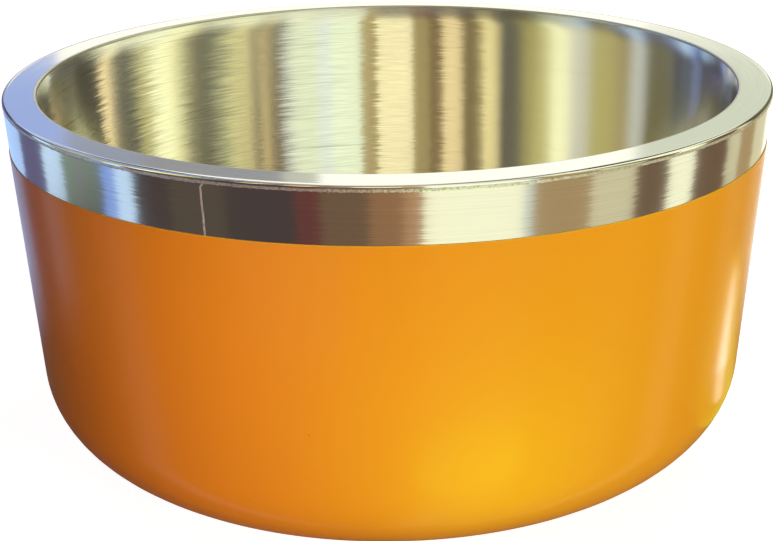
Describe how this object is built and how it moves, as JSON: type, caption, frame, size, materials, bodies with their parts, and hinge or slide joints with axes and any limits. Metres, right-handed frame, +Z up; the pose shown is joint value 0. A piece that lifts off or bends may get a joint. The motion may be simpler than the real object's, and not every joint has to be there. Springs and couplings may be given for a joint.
{
  "type": "dog bowl",
  "caption": "Round double-wall steel dog bowl with a flat lip, a bare steel band, an orange coated outer wall and a rubber foot ring.",
  "frame": {"origin": "centre of the foot ring's resting face", "axes": "+Z up along the bowl's axis, with -Y towards the viewer and the seam weld at front left"},
  "size_m": [0.2002, 0.2002, 0.097],
  "materials": {
    "inner_steel": "brushed round the bowl, satin",
    "shell_steel": "finely brushed round the bowl, near polished",
    "seam_steel": "ground flush weld, satin",
    "weld_steel": "rough weld bead, lightly polished",
    "base_steel": "pressed, fine circular brushing",
    "orange_coat": "baked powder coat, satin gloss with slight orange peel",
    "foot_rubber": "matt black moulded rubber",
    "adhesive": "cured adhesive film"
  },
  "bodies": {
    "root": {"inner_bowl": "inner_steel", "outer_shell": "shell_steel", "seam_weld": "seam_steel", "rim_weld": "weld_steel", "base_plate": "base_steel", "base_weld": "weld_steel", "colour_coat": "orange_coat", "foot_ring": "foot_rubber", "ring_adhesive": "adhesive"}
  },
  "joints": []
}
